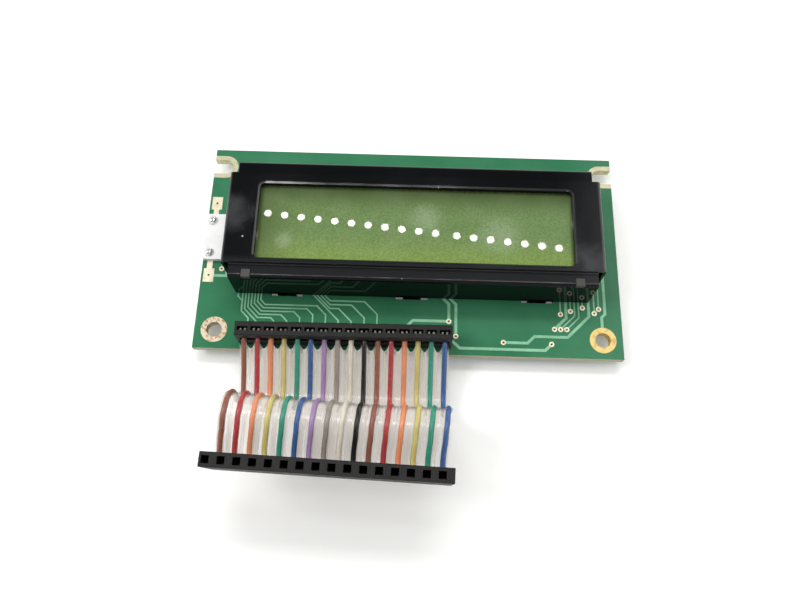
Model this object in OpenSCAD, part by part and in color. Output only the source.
// Character display module, two lines of sixteen characters, with its ribbon lead.
// Frame: X to the right along the display, Y to the rear edge, Z up.
// The origin lies on the bench, under the middle of the circuit board.

/* [Board] */
// Width of the circuit board
board_w = 84; // [82:0.5:90]
// Depth of the circuit board
board_d = 44; // [43:0.5:50]
// Thickness of the board laminate
board_t = 1.6; // [1.2:0.1:2.4]
// Height of the board's underside above the surface that it stands on
standoff = 2.4; // [2:0.1:4]
// Distance of each front fixing hole from the side edge
fix_inset_x = 3.9; // [3.6:0.1:5]
// Distance of each front fixing hole from the front edge
fix_inset_y = 3.8; // [3.6:0.1:4.6]
// Distance of each rear fixing slot's middle from the rear edge
slot_inset = 4.1; // [3.6:0.1:4.6]
// Bore of a front fixing hole
fix_bore = 3; // [2.2:0.1:3.2]
// Outer diameter of the tinned land round a fixing hole
fix_land = 5.2; // [4.6:0.1:6]
// Width of the open rear fixing slots
slot_w = 3.2; // [2.2:0.1:3.3]
// Depth of the rear fixing slots from the side edge
slot_depth = 4; // [3:0.1:4.2]
// Width of the tinned band round a rear slot
slot_band = 1; // [0.5:0.1:1.2]
// Thickness of copper, tinning and tracks
copper_t = 0.06; // [0.04:0.01:0.08]
// Bore of a plated through-hole between the two faces' tracks
via_bore = 0.45; // [0.3:0.05:0.5]
// Diameter of the land round such a hole
via_land = 1.05; // [0.8:0.05:1.1]
// Bore of a plated hole for a connector tail
pin_bore = 1; // [0.95:0.05:1.1]
// Diameter of the land round a connector tail
pin_land = 1.8; // [1.6:0.1:2]
// Width of a signal track
fine_track = 0.28; // [0.2:0.02:0.36]
// Width of a supply track
wide_track = 0.56; // [0.5:0.02:0.7]
// Distance between neighbouring signal tracks
track_lane = 0.61; // [0.55:0.01:0.65]

/* [Bezel] */
// Mean distance of the bezel's end walls from the board's side edges
bezel_side = 5.6; // [5.4:0.1:6.5]
// How far each end wall stands out past the ends of the ledges
end_reach = 1.4; // [1:0.1:2]
// Depth of the bezel over both ledges
bezel_d = 24.8; // [24.6:0.1:25.4]
// Width of the front ledge
front_ledge_d = 2.7; // [1.8:0.1:2.8]
// Width of the rear ledge
rear_ledge_d = 3.1; // [1.8:0.1:3.2]
// Drop from the top plate to the ledges
step_h = 1; // [0.8:0.1:1.4]
// Height of the top plate above the board
bezel_h = 10; // [9.8:0.1:11]
// Thickness of the sheet steel
sheet_t = 0.5; // [0.4:0.05:0.6]
// Outer radius of the bends
bend_r = 0.7; // [0.4:0.1:0.8]
// Place of the bezel's middle to the right of the board's middle
bezel_x = 0.5; // [0:0.1:1]
// Place of the bezel's middle behind the board's middle
bezel_y = 1.9; // [1.4:0.1:2.2]
// Distance of the viewing window from the ends and long walls of the ledges
window_margin = 4.5; // [4.2:0.1:5.4]
// Corner radius of the viewing window
window_r = 1; // [0.5:0.1:2]
// How far the window's middle lies in front of the bezel's middle
window_shift = 0.7; // [0:0.1:0.8]
// How far the window's middle lies to the right of the bezel's middle
window_right = 0.2; // [0:0.1:0.4]
// Depth of the turned-down window rim below the top face
rim_h = 1.2; // [0.8:0.05:1.25]
// Width of a twisted fixing tab
tab_w = 3.6; // [2:0.1:4]
// Distance between neighbouring fixing tabs
tab_pitch = 25; // [20:0.5:27]
// Length of a board slot for a fixing tab
tab_slot_l = 6.4; // [5:0.1:7]
// Width of a board slot for a fixing tab
tab_slot_w = 1.2; // [1:0.1:1.5]
// Angle by which the tabs are twisted under the board
tab_twist = 28; // [10:1:35]
// Width of each latch window in the front ledge
latch_w = 1.9; // [1.4:0.1:2.4]
// Distance of the latch windows' middle from the ends of the ledges
latch_inset = 3.4; // [2.4:0.1:6]

/* [Display] */
// Thickness of each glass plate
glass_t = 1.1; // [0.7:0.05:1.1]
// How far the front glass reaches past each side of the window
glass_lap = 2.5; // [2:0.1:2.7]
// How far the front glass reaches past the rear glass over each contact strip
glass_overhang = 2.3; // [2.2:0.1:2.8]
// Thickness of the polariser films
film_t = 0.2; // [0.15:0.05:0.25]
// How far the front polariser reaches past the long sides of the window
polariser_lap = 1; // [0.4:0.1:1.1]
// Width of an elastomer contact strip
strip_d = 1.8; // [1.4:0.1:1.9]
// Thickness of the diffuser sheet
diffuser_t = 0.4; // [0.2:0.05:0.5]
// Wall thickness of the inner frame
frame_wall = 1.1; // [0.8:0.1:1.2]

/* [Backlight] */
// Thickness of the white backlight board
light_board_t = 1.1; // [0.8:0.1:1.6]
// Width of the tab that comes out under the left end of the bezel
light_tab_d = 10; // [8:0.5:12]
// Distance of the tab's middle behind the board's middle
light_tab_y = 1.2; // [0.5:0.1:2]
// Distance of the tab's end from the board's left edge
light_tab_inset = 0.2; // [0.1:0.1:1]
// Distance between the two supply pins
light_pin_pitch = 7.1; // [5:0.1:7.4]
// Distance of the supply pins from the board's left edge
light_pin_x = 1.35; // [1.25:0.05:2.2]
// How far the lands beside the tab lie inside its pins
light_land_shift = 0.15; // [0.1:0.01:0.2]
// Diameter of a supply pin
light_pin_d = 0.8; // [0.6:0.05:1]
// How far a supply pin stands out above the tab and below the board
light_pin_proud = 0.6; // [0.3:0.1:0.8]
// Width of each bare land beside the tab
light_land_w = 2.1; // [1.8:0.1:2.6]
// Depth of each bare land beside the tab
light_land_d = 2.9; // [2:0.1:3.2]
// Distance of each bare land from the tab
light_land_gap = 1.6; // [1.2:0.1:2]
// Width of the copper neck that joins a bare land to its pin
light_neck_w = 1.1; // [0.8:0.1:1.4]
// Number of light-emitting chips along the reflector
led_columns = 9; // [6:1:11]
// Distance of the first and last chips from the ends of the reflector
led_margin = 5.1; // [3:0.1:6]
// Distance between the two rows of chips
led_row_gap = 7.6; // [7:0.1:8]
// Side of a square light-emitting chip
led_s = 0.6; // [0.4:0.05:0.8]
// Width of a reflector well at its top
well_top_d = 5.6; // [4:0.1:6]
// Width of a reflector well at its bottom
well_low_d = 2.6; // [2:0.1:3.4]

/* [Connectors] */
// Number of ways
ways = 16; // [14:2:16]
// Distance between neighbouring ways
pitch = 2.54; // [2.5:0.01:2.54]
// Distance of the connector row's middle from the board's left edge
row_start = 29.8; // [29:0.1:31]
// Distance of the connector row from the board's front edge
row_inset = 2.5; // [1.7:0.1:2.8]
// Angle by which the fixed connector sits askew on the board
fixed_turn = 0.5; // [0:0.1:0.6]
// Sideways offset of the board tails from the blades in the fixed connector
tail_shift = -0.4; // [-0.5:0.1:0]
// Thickness of the connector fixed to the board
fixed_conn_d = 2.8; // [2.7:0.1:3.2]
// Height of the connector fixed to the board
fixed_conn_h = 6.2; // [6:0.1:7]
// Height of the ribbon's middle above the board, in that connector
ribbon_h = 3.7; // [3.4:0.1:4]
// Thickness of the free connector
free_conn_d = 2.5; // [2.4:0.05:2.6]
// Height of the free connector
free_conn_h = 10.4; // [10:0.1:12]
// Solid stub past the first socket of the free connector
free_stub_first = 1; // [0.9:0.05:1.3]
// Solid stub past the last socket of the free connector
free_stub_last = 2; // [1.3:0.05:2.6]
// Side of a square socket
socket_s = 1.3; // [1:0.05:1.4]
// Depth of a socket
socket_depth = 6.4; // [5:0.1:6.6]
// Distance of the ribbon's middle below the mating face
ribbon_drop = 8; // [7.8:0.1:8.4]
// Length of a termination slot
slit_l = 2; // [1.9:0.05:2.2]
// Width of a termination slot
slit_w = 0.8; // [0.5:0.05:0.9]
// Width of a contact blade
blade_w = 1.8; // [1.5:0.05:1.9]
// Thickness of a contact blade
blade_t = 0.4; // [0.3:0.05:0.5]
// Distance of the blades' tips below the top of the fixed connector
blade_setback = 0.7; // [0.3:0.05:1]
// Gap between the two tines of a contact blade
tine_gap = 0.5; // [0.4:0.05:0.6]
// Length of a contact tail below the board
tail_down = 1.5; // [1:0.1:1.9]
// Sideways offset of the blades from the sockets in the free connector
blade_shift = 0.4; // [0.2:0.1:0.4]
// Distance of the spring leaves' tips below the mating face
leaf_setback = 2.6; // [1.5:0.1:4]
// Height of the long mouth that takes the ribbon
mouth_h = 1.3; // [1.2:0.05:1.5]
// Side of a square connector pin
pin_s = 0.64; // [0.5:0.02:0.7]

/* [Ribbon] */
// Diameter of an insulated wire
wire_d = 1; // [0.8:0.05:1]
// Thickness of the clear film that joins the wires
web_t = 0.2; // [0.1:0.05:0.3]
// Width of the film past the outer wires
web_margin = 0.28; // [0.1:0.02:0.5]
// How far the middle of the ribbon's loop bows out in front of its sides
loop_bow = 0.5; // [0:0.1:0.8]

/* [Rear parts] */
// Diameter of the larger epoxy cap
cap_large_d = 15; // [12:0.5:16]
// Diameter of the smaller epoxy cap
cap_small_d = 12.5; // [10:0.5:13]
// Height of the epoxy caps
cap_h = 1.5; // [1:0.1:1.7]
// Length of a chip resistor or capacitor
chip_l = 2; // [1.6:0.1:2.2]
// Width of a chip resistor or capacitor
chip_w = 1.25; // [0.8:0.05:1.4]
// Height of a chip resistor
chip_h = 0.55; // [0.4:0.05:0.7]
// Height of a chip capacitor
capacitor_h = 0.8; // [0.6:0.05:1]
// Length of the tinned end of a chip
chip_end = 0.35; // [0.25:0.05:0.45]

/* [Hidden] */

function wire_name(i) = str("wire_", i < 9 ? "0" : "", i + 1);

$fn = 32;

// Running clearance between pieces that seat against each other
fit = 0.1;
// Overcut that keeps a cutting shape clear of the faces that it opens
over = 0.5;

board_top = standoff + board_t;
fix_x = board_w / 2 - fix_inset_x;
fix_y = board_d / 2 - fix_inset_y;
slot_y = board_d / 2 - slot_inset;
right_x = board_w / 2;

// Bezel levels and edges
plate_z = board_top + bezel_h;
ledge_z = plate_z - step_h;
wall_z = board_top + fit;
bezel_w = board_w - 2 * bezel_side;
ledge_w = bezel_w - 2 * end_reach;
window_w = ledge_w - 2 * window_margin;
window_d = bezel_d - 2 * window_margin;
latch_x = ledge_w / 2 - latch_inset;
front_y = bezel_y - bezel_d / 2;
rear_y = bezel_y + bezel_d / 2;
plate_front_y = front_y + front_ledge_d;
plate_rear_y = rear_y - rear_ledge_d;
window_y = bezel_y - window_shift;
tab_x = [for (i = [-1:1]) bezel_x + i * tab_pitch];
tab_y = [front_y + sheet_t / 2, rear_y - sheet_t / 2];
// The latch windows reach this far down the front wall and back over the ledge
latch_drop = 1.3;
latch_back = 1.75;

// Display stack, from the top down
glass_z = ledge_z - sheet_t - fit - glass_t;
rear_glass_z = glass_z - glass_t;
rear_film_z = rear_glass_z - film_t;
light_board_z = board_top + fit;
reflector_z = light_board_z + light_board_t;
diffuser_z = rear_film_z - fit - diffuser_t;
frame_w = ledge_w - 2 * sheet_t - 2 * fit;
frame_d = bezel_d - 2 * sheet_t - 2 * fit;
frame_top = ledge_z - sheet_t - fit;
glass_w = window_w + 2 * glass_lap;
glass_d = window_d + 2 * glass_lap;
rear_glass_d = glass_d - 2 * glass_overhang;
polariser_d = window_d + 2 * polariser_lap;
stack_w = glass_w - 1;
light_w = stack_w - 0.4;
light_d = rear_glass_d - 0.2;
led_pitch = (light_w - 2 * led_margin) / (led_columns - 1);

// Backlight supply tab
tab_left = light_tab_inset - right_x;
light_pin_at = [for (s = [-1, 1])
  [light_pin_x - right_x, light_tab_y + s * light_pin_pitch / 2]];
light_foot_r = light_pin_d / 2 + 0.6;
light_land_x = light_pin_x + light_land_shift - right_x;
function light_land_y(s) = light_tab_y + s * (light_tab_d / 2 + light_land_gap + light_land_d / 2);
light_land_vias = [for (s = [-1, 1]) [light_land_x, light_land_y(s)]];

// Connector rows
row_x = row_start - right_x;
row_y = row_inset - board_d / 2;
function way(i) = (i - (ways - 1) / 2) * pitch;
function tail_at(i) = [row_x + tail_shift + way(i), row_y];
fixed_conn_l = ways * pitch + 0.3;
fixed_top = board_top + fixed_conn_h;
// Foot of the contact blades inside the fixed connector
blade_foot = board_top + 1.1;
mouth_l = (ways - 1) * pitch + wire_d + 2 * web_margin + 2 * fit;
leaf_w = 0.9;
neck_w = 0.6;

// Plated holes that join the front and rear tracks
front_vias = [[row_x + 20.1, row_y + 4.3], [row_x + 21.5, row_y + 1.3],
  [right_x - 23.4, -19.2], [right_x - 14, -19.3], [right_x - 13.3, -16.2],
  [right_x - 12.1, -16.2], [right_x - 10.9, -16.2], [right_x - 12, -13.1],
  [right_x - 10, -12.4], [right_x - 7.6, -11.6], [right_x - 5.3, -12.7],
  [right_x - 4.4, -11.8], [4 - right_x, -5.4]];
// Front tracks run on under the bezel to here, and end at the edge of a pin's land here
under_y = front_y + 1.5;
jog_y = front_y - 1.1;
land_edge_y = row_y + pin_land / 2 + 0.01;

// Parts on the underside: the two caps, and each chip's place and turn
controller_at = [-15, 3];
driver_at = [18, 3];
resistor_gap = 4.2;
resistor_at = [for (c = [0:1], r = [0:3])
  [right_x - 11.5 + c * resistor_gap, 7 - r * 2.6, 0]];
capacitor_at = [[1.5, 11, 90], [1.5, -5.5, 90], [-29, 8, 0]];

// The ribbon's middle line: X and Y from the connector row's middle, Z from the bench,
// and the turn of the ribbon about Z in degrees
route = [
  [0.1, -0.2, 7.7, 0.5], [0.1, -1.5, 7.7, 0.5], [0.1, -2.8, 7.3, 0.4], [0.1, -4.4, 6.5, 0.3],
  [0.1, -6.4, 5.5, 0.2], [0.1, -8.4, 4.6, 0.1], [0.1, -10.3, 3.9, 0],
  [0.1, -11.7, 3.7, -0.5], [0.1, -13, 4.2, -1], [0.2, -13.9, 5.3, -1.6],
  [0.3, -14.3, 6.8, -2.1], [0.4, -14.4, 8.7, -2.4], [0.5, -14.3, 10.7, -2.6],
  [0.5, -14.1, 12.6, -2.7], [0.5, -14.1, 14.2, -2.8], [0.4, -14.7, 15.7, -2.7],
  [0.2, -15.8, 16.7, -2.6], [0.1, -17.2, 17.1, -2.5], [-0.1, -18.8, 17, -2.4],
  [-0.2, -20.5, 16.4, -2.3], [-0.4, -22.2, 15.6, -2.2], [-0.5, -23.8, 14.9, -2.1],
  [-0.5, -24.9, 14.6, -2.1], [-0.5, -26, 14.5, -2.1]
];
// The loop bows out between these two points of the route
bow_from = 5;
bow_to = 21;
wire_colours = ["sienna", "firebrick", "sandybrown", "khaki", "seagreen", "steelblue",
  "plum", "gray", "linen", "black"];

// The free connector leans and turns with the end of the ribbon
free_lean = 4;
free_turn = route[len(route) - 1][3];

// ---------------------------------------------------------------- helpers

function unit(v) = v / norm(v);
function left_of(v) = [-v[1], v[0]];

// Outline of a track of constant width along a bent line, with mitred corners
function track_outline(p, w) =
  let (n = len(p),
       d = [for (i = [0:n - 2]) left_of(unit(p[i + 1] - p[i]))],
       m = [for (i = [0:n - 1]) i == 0 ? d[0] : i == n - 1 ? d[n - 2] :
            (d[i - 1] + d[i]) / (1 + d[i - 1] * d[i])])
  concat([for (i = [0:n - 1]) p[i] + m[i] * w / 2],
         [for (i = [n - 1:-1:0]) p[i] - m[i] * w / 2]);

// Points of an arc that rounds the corner b between a and c
function rounded(a, b, c, r, steps = 5) =
  r == 0 ? [b] :
  let (u = unit(a - b), v = unit(c - b), cosine = u * v,
       half = acos(cosine) / 2, reach = r / tan(half),
       centre = b + unit(u + v) * r / sin(half),
       s = b + u * reach - centre, e = b + v * reach - centre)
  [for (k = [0:steps]) centre + r * unit(s * (1 - k / steps) + e * k / steps)];

// An open path with each inner corner rounded by its own radius
function rounded_path(p, r) =
  [for (i = [0:len(p) - 1])
    each (i == 0 || i == len(p) - 1 ? [p[i]] : rounded(p[i - 1], p[i], p[i + 1], r[i]))];

function reversed(p) = [for (i = [len(p) - 1:-1:0]) p[i]];

module box_between(low, high) {
  translate(low) cube(high - low);
}

// A block centred in X and Y whose underside is at z
module slab(w, d, t, x, y, z) {
  translate([x - w / 2, y - d / 2, z]) cube([w, d, t]);
}

// A rounded rectangle made of true arcs
module round_rect(w, d, r) {
  square([w, d - 2 * r], center = true);
  square([w - 2 * r, d], center = true);
  for (x = [-1, 1], y = [-1, 1])
    translate([x * (w / 2 - r), y * (d / 2 - r)]) circle(r);
}

module on_board_top() { translate([0, 0, board_top]) children(); }

// Turns what is drawn upwards from z = 0 to hang from the board's underside
module under_board() { translate([0, 0, standoff]) mirror([0, 0, 1]) children(); }

// A through-plated hole: a barrel with a flat land on each face of the board
module plated_hole(bore, land) {
  b = bore / 2;
  l = land / 2;
  t = copper_t;
  rotate_extrude()
    polygon([[b, standoff - t], [l, standoff - t], [l, standoff], [b + t, standoff],
      [b + t, board_top], [l, board_top], [l, board_top + t], [b, board_top + t]]);
}

// Solder drawn up round a pin of radius r, from a foot at z = 0
module solder_cone(r, foot, h) {
  lip = 0.06;
  rotate_extrude()
    polygon(concat([[r, 0]],
      [for (a = [0:15:90]) [foot - (foot - r - lip) * sin(a), lip + (h - lip) * (1 - cos(a))]],
      [[r, h]]));
}

// A dome of solder over a pin of radius r that stands proud by pin_h
module solder_dome(r, pin_h, foot, h) {
  rotate_extrude()
    polygon(concat([[r, pin_h], [r, 0]],
      [for (a = [0:15:90]) [foot * cos(a), h * sin(a)]], [[0, pin_h]]));
}

// ---------------------------------------------------------------- board

// Open slot in a side edge: side is -1 for the left edge and 1 for the right
module edge_slot(side, grow = 0) {
  r = slot_w / 2;
  x = side * (right_x - slot_depth + r);
  translate([x, slot_y]) circle(r + grow);
  translate([x + side * slot_depth / 2, slot_y])
    square([slot_depth, slot_w + 2 * grow], center = true);
}

module tab_slots() {
  for (x = tab_x, y = tab_y) translate([x, y]) square([tab_slot_l, tab_slot_w], center = true);
}

module main_board() {
  color("seagreen") translate([0, 0, standoff]) linear_extrude(board_t)
    difference() {
      square([board_w, board_d], center = true);
      tab_slots();
      for (side = [-1, 1]) {
        translate([side * fix_x, -fix_y]) circle(fix_bore / 2 + copper_t);
        edge_slot(side, copper_t);
      }
      for (p = front_vias) translate(p) circle(via_bore / 2 + copper_t, $fn = 16);
      for (p = light_land_vias) translate(p) circle(via_bore / 2, $fn = 16);
      for (p = light_pin_at) translate(p) circle(light_pin_d / 2 + fit);
      for (i = [0:ways - 1]) translate(tail_at(i)) circle(pin_bore / 2 + copper_t, $fn = 16);
    }
}

module fixing_lands() {
  color("goldenrod")
    for (side = [-1, 1]) translate([side * fix_x, -fix_y]) plated_hole(fix_bore, fix_land);
}

// One layer of the tinned band round a rear slot, as wide as given
module slot_layer(side, band) {
  intersection() {
    square([board_w, board_d], center = true);
    difference() {
      edge_slot(side, band);
      edge_slot(side);
    }
  }
}

module slot_lands() {
  color("tan") for (side = [-1, 1]) {
    for (z = [standoff - copper_t, board_top])
      translate([0, 0, z]) linear_extrude(copper_t) slot_layer(side, slot_band);
    translate([0, 0, standoff]) linear_extrude(board_t) slot_layer(side, copper_t);
  }
}

module plated_vias() {
  color("khaki") for (p = front_vias) translate(p) plated_hole(via_bore, via_land, $fn = 16);
}

module pin_lands() {
  color("khaki")
    for (i = [0:ways - 1]) translate(tail_at(i)) plated_hole(pin_bore, pin_land, $fn = 16);
}

// Bare lands beside the backlight tab, each joined to its pin by a neck
module backlight_lands() {
  neck_d = light_land_gap + 1;
  color("tan") {
    on_board_top() linear_extrude(copper_t) for (s = [-1, 1]) difference() {
      union() {
        translate([light_land_x, light_land_y(s)])
          square([light_land_w, light_land_d], center = true);
        translate([light_land_x, light_tab_y + s * (light_tab_d + neck_d) / 2])
          square([light_neck_w, neck_d], center = true);
      }
      for (p = light_land_vias) translate(p) circle(via_bore / 2, $fn = 16);
    }
    under_board() linear_extrude(copper_t) for (p = light_pin_at) translate(p)
      difference() {
        circle(light_foot_r + 0.2);
        circle(light_pin_d / 2 + fit);
      }
  }
}

// --------------------------------------------------------------- tracks

module draw_tracks(paths, w) {
  for (p = paths) linear_extrude(copper_t) polygon(track_outline(p, w));
}

// Tracks of the left bundle: down from the display, along, and down to a pin.
// The first two turn straight into the column of their pin.
function left_x(i) = tail_at(0)[0] - 1.5 + track_lane * i;
function left_track(i) =
  let (pin = tail_at(i), x = left_x(i), bend_y = -14.2 + 0.4 * i, level = -16.9 + 0.69 * i,
       corner = track_lane * (i < 3 ? 1 : i < 6 ? 2 : 3), reach = pin[0] - x)
  i < 2 ? [[x, under_y], [x, bend_y], [pin[0], bend_y - reach], [pin[0], land_edge_y]] :
  [[x, under_y], [x, bend_y], [x + bend_y - level, level], [pin[0] - corner, level],
   [pin[0], level - corner], [pin[0], land_edge_y]];

// Tracks of the middle bundle: in at 45 degrees, along, and down to a pin
function middle_track(k) =
  let (x = tail_at(7 + k)[0], level = -14 + 0.8 * k, bend_x = row_x - 3.5, corner = 2.6)
  k == 0 ? [[x - (under_y + 15.7), under_y], [x, -15.7], [x, land_edge_y]] :
  [[bend_x - (under_y - level), under_y], [bend_x, level], [x - corner, level],
   [x, level - corner], [x, land_edge_y]];

// A point on the edge of a via's land, in the direction (x, y)
function via_edge(i, x, y) = front_vias[i] + unit([x, y]) * (via_land / 2 + 0.01);

// Straight up from a via to y
function riser(i, y = under_y) = [via_edge(i, 0, 1), [front_vias[i][0], y]];

// Up from a via, with a jog to the left just before the bezel's wall
function jogged(i) =
  let (x = front_vias[i][0], jog = 1.1)
  [via_edge(i, 0, 1), [x, jog_y], [x - jog, jog_y + jog], [x - jog, under_y]];

// Up and to the right from a via, then straight up at x
function dogleg(i, x) =
  let (start = via_edge(i, 1, 1)) [start, [x, start[1] + x - start[0]], [x, under_y]];

supply_tracks =
  let (supply = tail_at(12)[0], anode = tail_at(15)[0] + 0.7, far = right_x - 6.4)
  [[[supply, land_edge_y], [supply, row_y + 2.3], [supply + 2, row_y + 4.3],
    via_edge(0, -1, 0)],
   jogged(0), jogged(1), dogleg(4, right_x - 10.9),
   [[anode, land_edge_y], [anode + 1, land_edge_y - 0.2], [anode + 2.9, -20.6],
    [right_x - 15.3, -20.6], via_edge(3, -1, -1)],
   [via_edge(2, 1, 0), [far - 12.3, front_vias[2][1]], [far - 10.9, -17.8], [far - 4.4, -17.8],
    [far, -13.4], [far, under_y]],
   [[fix_x + 0.7, -3], [fix_x + 0.7, -12.8], [fix_x, -13.5],
    [fix_x, -fix_y + fix_land / 2 + 0.02]],
   [[light_land_x + light_land_w / 2 + 0.02, -6.9], [light_land_x + 3.6, -6.9],
    [light_land_x + 3.6, -4.2]]];
signal_tracks =
  [dogleg(5, right_x - 9.2), dogleg(6, right_x - 8.4), riser(7), riser(8), riser(9),
   riser(10, -4), riser(11, -4), riser(12, -4.2),
   [[left_x(0), jog_y - 0.5], [left_x(0) - 0.9, jog_y + 0.4], [left_x(0) - 0.9, under_y]]];

module front_tracks() {
  color("palegreen") on_board_top() {
    draw_tracks([for (i = [0:6]) left_track(i)], fine_track);
    draw_tracks([for (k = [0:3]) middle_track(k)], fine_track);
    draw_tracks(supply_tracks, wide_track);
    draw_tracks(signal_tracks, fine_track);
  }
}

// Half the width of a round cap at a distance d from its middle, with a margin
function cap_reach(cap_d, d) = sqrt(pow(cap_d / 2, 2) - d * d) + 0.05;

// Rear tracks: between the caps, down to the connector and out to the chips
module rear_tracks() {
  lane = 1.5 * track_lane;
  between = [for (i = [-4:4]) let (d = i * lane, y = controller_at[1] + d)
    [[controller_at[0] + cap_reach(cap_large_d, d), y],
     [driver_at[0] - cap_reach(cap_small_d, d), y]]];
  down = [for (i = [2:9]) let (d = (i - 5.5) * lane, x = controller_at[0] + d,
      pin = tail_at(i), bend_y = -8.6 - 0.5 * min(i - 2, 9 - i))
    [[x, controller_at[1] - cap_reach(cap_large_d, d)], [x, bend_y],
     [pin[0], bend_y - abs(pin[0] - x)], [pin[0], land_edge_y]]];
  up = [for (i = [-3:3]) let (d = i * lane, x = controller_at[0] + d)
    [[x, controller_at[1] + cap_reach(cap_large_d, d)], [x, 12.4]]];
  half = chip_l / 2 + 0.02;
  out = [for (p = resistor_at) let (first = p[0] == resistor_at[0][0])
    [[first ? driver_at[0] + cap_reach(cap_small_d, p[1] - driver_at[1])
            : p[0] - resistor_gap + half, p[1]], [p[0] - half, p[1]]]];
  color("darkseagreen") under_board() draw_tracks(concat(between, down, up, out), fine_track);
}

// ---------------------------------------------------------------- bezel

// Outline over the bezel from the front wall's foot to the rear wall's foot,
// inset by the given amount, with its convex and concave corner radii
function long_outline(inset, convex, concave) =
  let (front = front_y + inset, rear = rear_y - inset, ledge = ledge_z - inset,
       step_front = plate_front_y + inset, step_rear = plate_rear_y - inset,
       plate = plate_z - inset)
  rounded_path([[front, wall_z], [front, ledge], [step_front, ledge], [step_front, plate],
      [step_rear, plate], [step_rear, ledge], [rear, ledge], [rear, wall_z]],
    [0, convex, concave, convex, convex, concave, convex, 0]);

// Outline over the bezel from the left end wall's foot to the right one's
function end_outline(inset, radius) =
  let (x = bezel_w / 2 - inset, plate = plate_z - inset)
  rounded_path([[-x, wall_z], [-x, plate], [x, plate], [x, wall_z]], [0, radius, radius, 0]);

// A bend's radius is limited by the height of the step that it bends into
outer_bend = min(bend_r, (step_h + sheet_t) / 2 - 0.02);
inner_bend = max(outer_bend - sheet_t, 0.05);

module long_shell() {
  translate([bezel_x - ledge_w / 2, 0, 0]) rotate([90, 0, 90]) linear_extrude(ledge_w)
    polygon(concat(long_outline(0, outer_bend, inner_bend),
      reversed(long_outline(sheet_t, inner_bend, outer_bend))));
}

module end_shell() {
  translate([bezel_x, plate_rear_y, 0]) rotate([90, 0, 0])
    linear_extrude(plate_rear_y - plate_front_y)
      polygon(concat(end_outline(0, outer_bend), reversed(end_outline(sheet_t, inner_bend))));
}

module at_window(z) { translate([bezel_x + window_right, window_y, z]) children(); }

// The turned-down rim of the window
module window_rim() {
  at_window(plate_z - rim_h) linear_extrude(rim_h - sheet_t / 2)
    round_rect(window_w + 2 * sheet_t, window_d + 2 * sheet_t, window_r + sheet_t);
}

// The window's opening, with its upper edge eased at 45 degrees
module window_cut() {
  ease = sheet_t * 0.6;
  prism = ease * sqrt(2);
  at_window(plate_z - rim_h - over) linear_extrude(rim_h + 2 * over)
    round_rect(window_w, window_d, window_r);
  at_window(plate_z) for (s = [-1, 1]) {
    translate([0, s * window_d / 2, 0]) rotate([45, 0, 0])
      cube([window_w - 2 * window_r, prism, prism], center = true);
    translate([s * window_w / 2, 0, 0]) rotate([0, 45, 0])
      cube([prism, window_d - 2 * window_r, prism], center = true);
    for (y = [-1, 1])
      translate([s * (window_w / 2 - window_r), y * (window_d / 2 - window_r), -ease])
        cylinder(h = 2 * ease, r1 = window_r, r2 = window_r + 2 * ease);
  }
}

module latch_cuts() {
  for (s = [-1, 1])
    translate([bezel_x + s * latch_x - latch_w / 2, front_y - over, ledge_z - latch_drop])
      cube([latch_w, latch_back + over, latch_drop + over]);
}

// A fixing tab: straight through the board, then twisted beneath it
module fixing_tab() {
  neck = standoff - fit;
  translate([-tab_w / 2, -sheet_t / 2, neck]) cube([tab_w, sheet_t, wall_z + fit - neck]);
  rotate([0, 0, tab_twist]) translate([-tab_w / 2, -sheet_t / 2, 0])
    cube([tab_w, sheet_t, neck + 0.001]);
}

module bezel() {
  color("#1c1d22") difference() {
    union() {
      long_shell();
      end_shell();
      window_rim();
      for (x = tab_x, y = tab_y) translate([x, y, 0]) fixing_tab();
    }
    window_cut();
    latch_cuts();
    // Gap in the left end wall for the backlight tab
    slab(4 * sheet_t, light_tab_d + 4 * fit, light_board_t + 2 * fit + over,
      bezel_x - bezel_w / 2, light_tab_y, light_board_z - over);
  }
}

// -------------------------------------------------------------- display

module inner_frame() {
  foot = board_top + 2 * fit;
  color("#3a3836") difference() {
    union() {
      slab(frame_w, frame_d, frame_top - foot, bezel_x, bezel_y, foot);
      // Latches that show in the bezel's windows
      for (s = [-1, 1])
        box_between(
          [bezel_x + s * latch_x - latch_w / 2 + fit, front_y + fit, ledge_z - latch_drop + fit],
          [bezel_x + s * latch_x + latch_w / 2 - fit, front_y + latch_back - fit, ledge_z]);
    }
    slab(frame_w - 2 * frame_wall, frame_d - 2 * frame_wall, frame_top, bezel_x, bezel_y,
      board_top);
    slab(4 * frame_wall, light_tab_d + 4 * fit, light_board_t + 3 * fit,
      bezel_x - frame_w / 2, light_tab_y, board_top);
  }
}

// A sheet or plate of the display, centred in the bezel
module layer(w, d, t, z) { slab(w, d, t, bezel_x, bezel_y, z); }

module front_polariser() {
  color("olivedrab") layer(glass_w - 2, polariser_d, film_t, glass_z + glass_t);
}

module front_glass() { color("lightcyan") layer(glass_w, glass_d, glass_t, glass_z); }

module rear_glass() { color("lightcyan") layer(stack_w, rear_glass_d, glass_t, rear_glass_z); }

module rear_polariser() {
  color("darkseagreen") layer(stack_w - 1, rear_glass_d - 0.6, film_t, rear_film_z);
}

module diffuser_sheet() {
  color("ivory") layer(stack_w - 1, rear_glass_d - 0.4, diffuser_t, diffuser_z);
}

// Striped elastomer that joins the board to the overhang of the front glass
module contact_strip(side) {
  low = board_top + copper_t;
  color("dimgray") translate([0, side * (rear_glass_d / 2 + 2 * fit + strip_d / 2), 0])
    layer(stack_w - 2, strip_d, glass_z - low, low);
}

module contact_strip_front() { contact_strip(-1); }
module contact_strip_rear() { contact_strip(1); }

// ------------------------------------------------------------ backlight

led_at = [for (i = [0:led_columns - 1], s = [-1, 1])
  [bezel_x + (i - (led_columns - 1) / 2) * led_pitch, bezel_y + s * led_row_gap / 2]];

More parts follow.
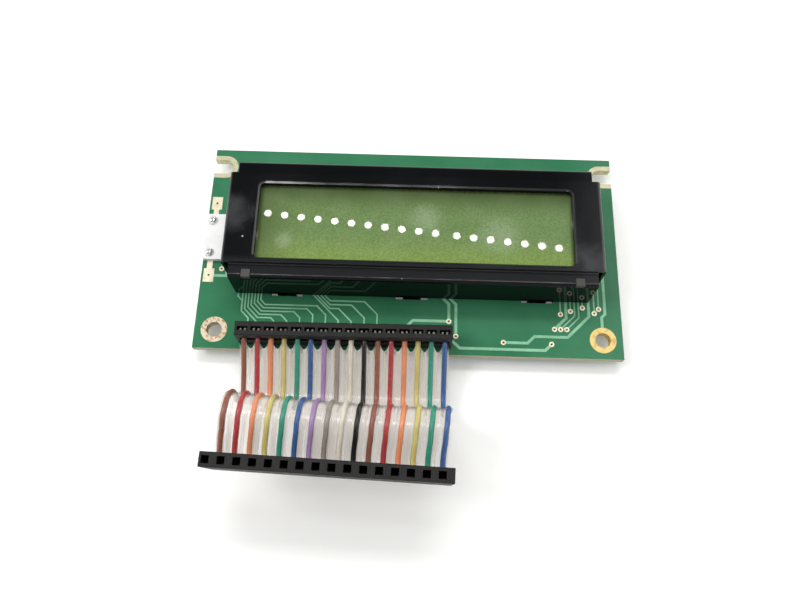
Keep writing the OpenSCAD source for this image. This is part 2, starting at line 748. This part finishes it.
module reflector() {
  h = diffuser_z - reflector_z;
  color("white") difference() {
    layer(light_w, light_d, h, reflector_z);
    for (p = led_at) translate([p[0], p[1], reflector_z - 0.01])
      cylinder(h = h + 0.02, d1 = well_low_d, d2 = well_top_d);
  }
}

module led_chips() {
  color("lemonchiffon") for (p = led_at) slab(led_s, led_s, led_s / 2, p[0], p[1], reflector_z);
}

module backlight_board() {
  color("whitesmoke") difference() {
    union() {
      layer(light_w, light_d, light_board_t, light_board_z);
      box_between([tab_left, light_tab_y - light_tab_d / 2, light_board_z],
        [bezel_x, light_tab_y + light_tab_d / 2, reflector_z]);
    }
    for (p = light_pin_at) translate([p[0], p[1], light_board_z - over])
      cylinder(h = light_board_t + 2 * over, d = light_pin_d + fit);
  }
}

module backlight_pins() {
  color("silver") for (p = light_pin_at) translate([p[0], p[1], standoff - light_pin_proud])
    cylinder(h = reflector_z - standoff + 2 * light_pin_proud, d = light_pin_d);
}

module backlight_solder() {
  module dome(pin_h) solder_dome(light_pin_d / 2, pin_h, light_foot_r, pin_h + 0.3);
  color("gainsboro") for (p = light_pin_at) translate([p[0], p[1], 0]) {
    translate([0, 0, reflector_z]) dome(light_pin_proud);
    under_board() translate([0, 0, copper_t]) dome(light_pin_proud - copper_t);
  }
}

// ------------------------------------------------------ fixed connector

// What is drawn about the row's middle sits askew with the fixed connector
module at_fixed_connector() {
  translate([row_x, row_y, 0]) rotate([0, 0, fixed_turn]) children();
}

module fixed_connector_housing() {
  mouth_z = board_top + ribbon_h;
  inner_wall = 0.6;
  tail_room = pin_s + 4 * fit;
  color("#26262a") at_fixed_connector() difference() {
    slab(fixed_conn_l, fixed_conn_d, fixed_top - wall_z, 0, 0, wall_z);
    // The long mouth that takes the ribbon
    box_between([-mouth_l / 2, -fixed_conn_d, mouth_z - mouth_h / 2],
      [mouth_l / 2, fixed_conn_d / 2 - inner_wall, mouth_z + mouth_h / 2]);
    for (i = [0:ways - 1]) translate([way(i), 0, 0]) {
      slab(slit_l, slit_w, fixed_top + over - blade_foot, 0, 0, blade_foot);
      slab(tail_room, tail_room, blade_foot - board_top, tail_shift, 0, board_top);
    }
    // Eased upper edges
    for (s = [-1, 1]) translate([0, s * fixed_conn_d / 2, fixed_top])
      rotate([45, 0, 0]) cube([fixed_conn_l + over, 0.25, 0.25], center = true);
  }
}

// A contact's slotted blade in the fixed connector
module fixed_blade() {
  tip = fixed_top - blade_setback;
  difference() {
    slab(blade_w, blade_t, tip - blade_foot, 0, 0, blade_foot);
    slab(tine_gap, 2 * blade_t, tip, 0, 0, blade_foot + 1);
    // Slanted tips of the tines
    for (s = [-1, 1]) translate([s * blade_w / 2, 0, tip]) rotate([0, 45, 0])
      cube([blade_t, 2 * blade_t, blade_t], center = true);
  }
}

// A contact's square tail, from the given level up to the blade's foot
module fixed_tail(low) { slab(pin_s, pin_s - fit, blade_foot - low, 0, 0, low); }

module fixed_connector_contacts() {
  color("silver") for (i = [0:ways - 1]) {
    at_fixed_connector() translate([way(i), 0, 0]) fixed_blade();
    translate(tail_at(i)) fixed_tail(standoff - tail_down);
  }
}

module fixed_connector_solder() {
  color("gainsboro") for (i = [0:ways - 1]) translate(tail_at(i)) difference() {
    under_board() translate([0, 0, copper_t]) solder_cone(0, pin_land / 2, 1, $fn = 16);
    fixed_tail(0);
  }
}

// ------------------------------------------------------- free connector

// The ribbon ends on the blades, ribbon_drop below the mating face at z = 0
module at_free_connector() {
  translate(route_at(len(route) - 1)) rotate([free_lean, 0, free_turn])
    translate([-blade_shift, -blade_t / 2, ribbon_drop]) children();
}

module free_connector_housing() {
  inner_wall = 0.6;
  color("#232327") at_free_connector() difference() {
    box_between([way(0) - free_stub_first, -free_conn_d / 2, -free_conn_h],
      [way(ways - 1) + free_stub_last, free_conn_d / 2, 0]);
    // The long mouth that takes the ribbon
    box_between([blade_shift - mouth_l / 2, inner_wall - free_conn_d / 2, -ribbon_drop - mouth_h / 2],
      [blade_shift + mouth_l / 2, free_conn_d, -ribbon_drop + mouth_h / 2]);
    for (i = [0:ways - 1]) translate([way(i), 0, 0]) {
      slab(socket_s, socket_s, socket_depth + over, 0, 0, -socket_depth);
      slab(neck_w + 2 * fit, blade_t + fit, ribbon_drop - socket_depth, blade_shift / 2, 0,
        -ribbon_drop);
      slab(slit_l, slit_w, free_conn_h - ribbon_drop + mouth_h / 2 + 2 * fit + over, blade_shift,
        0, -free_conn_h - over);
    }
    // Eased edges of the mating face
    for (s = [-1, 1]) translate([0, s * free_conn_d / 2, 0]) rotate([45, 0, 0])
      cube([2 * mouth_l, 0.2, 0.2], center = true);
  }
}

// One contact: two spring leaves in the socket, a neck and a slotted blade
module free_contact() {
  base = -socket_depth + fit;
  leaf_t = 0.2;
  blade_top = -ribbon_drop + mouth_h / 2 + fit;
  for (s = [-1, 1])
    slab(leaf_w, leaf_t, -leaf_setback - base, 0, s * (socket_s / 2 - leaf_t), base);
  slab(leaf_w, socket_s - 2 * leaf_t, leaf_t, 0, 0, base);
  slab(neck_w, blade_t, base - blade_top, blade_shift / 2, 0, blade_top);
  difference() {
    slab(blade_w, blade_t, blade_top + free_conn_h - blade_setback, blade_shift, 0,
      blade_setback - free_conn_h);
    slab(tine_gap, 2 * blade_t, blade_top - 0.4 + free_conn_h, blade_shift, 0, -free_conn_h);
  }
}

module free_connector_contacts() {
  color("goldenrod") at_free_connector()
    for (i = [0:ways - 1]) translate([way(i), 0, 0]) free_contact();
}

// --------------------------------------------------------------- ribbon

function route_at(k) = [row_x + route[k][0], row_y + route[k][1], route[k][2]];

// Directions at point k: along the ribbon, across it and out of its flat side.
// The last ring lies square to the free connector.
function along(k) =
  k == len(route) - 1 ?
    [sin(free_turn) * cos(free_lean), -cos(free_turn) * cos(free_lean), -sin(free_lean)] :
    unit(route_at(k + 1) - route_at(max(k - 1, 0)));
function across(k) = [cos(route[k][3]), sin(route[k][3]), 0];
function bow(k, x) =
  let (s = max(0, min(1, (k - bow_from) / (bow_to - bow_from))), half = way(ways - 1))
  [0, -loop_bow * pow(sin(180 * s), 2) * (1 - pow(x / half, 2)), 0];
function ribbon_point(k, x, z) =
  route_at(k) + across(k) * x + bow(k, x) + unit(cross(along(k), across(k))) * z;

// A solid swept along the route with a constant section of [x, z] points
module swept(section, first, last) {
  n = len(section);
  rings = last - first;
  points = [for (k = [first:last]) each [for (p = section) ribbon_point(k, p[0], p[1])]];
  sides = [for (k = [0:rings - 1], j = [0:n - 1])
    let (a = k * n + j, b = k * n + (j + 1) % n) each [[a, b, a + n], [b, b + n, a + n]]];
  ends = [[for (j = [n - 1:-1:0]) j], [for (j = [0:n - 1]) rings * n + j]];
  polyhedron(points, concat(sides, ends), convexity = 6);
}

module wire(i) {
  sides = 8;
  r = wire_d / 2;
  color(wire_colours[i % len(wire_colours)])
    swept([for (j = [0:sides - 1]) let (a = (j + 0.5) * 360 / sides)
      [way(i) + r * cos(a), r * sin(a)]], 0, len(route) - 1);
}

// The film is trimmed back before both connectors
module ribbon_film() {
  module strip(low, high)
    swept([[low, -web_t / 2], [high, -web_t / 2], [high, web_t / 2], [low, web_t / 2]],
      2, len(route) - 3);
  side = wire_d / 2 * cos(22.5) + 0.01;
  edge = wire_d / 2 + web_margin;
  color("whitesmoke") {
    for (i = [0:ways - 2]) strip(way(i) + side, way(i + 1) - side);
    strip(way(0) - edge, way(0) - side);
    strip(way(ways - 1) + side, way(ways - 1) + edge);
  }
}

// ------------------------------------------------------------ rear side

// A low dome of poured epoxy with a short upright rim
module epoxy_cap(d) {
  rim = 0.35;
  under_board() translate([0, 0, copper_t]) rotate_extrude()
    polygon(concat([[0, 0], [d / 2, 0]],
      [for (a = [0:10:90]) [d / 2 * cos(a), rim + (cap_h - rim) * sin(a)]]));
}

module controller_cap() {
  color("#202020") translate([controller_at[0], controller_at[1], 0]) epoxy_cap(cap_large_d);
}

module driver_cap() {
  color("#202020") translate([driver_at[0], driver_at[1], 0]) epoxy_cap(cap_small_d);
}

module at_chips(places) {
  for (p = places) translate([p[0], p[1], 0]) rotate([0, 0, p[2]])
    under_board() translate([0, 0, copper_t]) children();
}

module chip_body(h) { slab(chip_l - 2 * chip_end, chip_w, h, 0, 0, 0); }

module chip_ends(h) {
  for (s = [-1, 1]) slab(chip_end, chip_w, h, s * (chip_l - chip_end) / 2, 0, 0);
}

module chip_resistors() { color("#1a1a1a") at_chips(resistor_at) chip_body(chip_h); }
module chip_capacitors() { color("burlywood") at_chips(capacitor_at) chip_body(capacitor_h); }

module chip_terminals() {
  color("silver") {
    at_chips(resistor_at) chip_ends(chip_h);
    at_chips(capacitor_at) chip_ends(capacitor_h);
  }
}

// ----------------------------------------------------------------------

main_board();
fixing_lands();
slot_lands();
front_tracks();
rear_tracks();
plated_vias();
pin_lands();
backlight_lands();
bezel();
inner_frame();
front_polariser();
front_glass();
rear_glass();
rear_polariser();
diffuser_sheet();
reflector();
led_chips();
backlight_board();
backlight_pins();
backlight_solder();
contact_strip_front();
contact_strip_rear();
fixed_connector_housing();
fixed_connector_contacts();
fixed_connector_solder();
controller_cap();
driver_cap();
chip_resistors();
chip_capacitors();
chip_terminals();
free_connector_housing();
free_connector_contacts();
ribbon_film();
for (i = [0:ways - 1])
  wire(i);
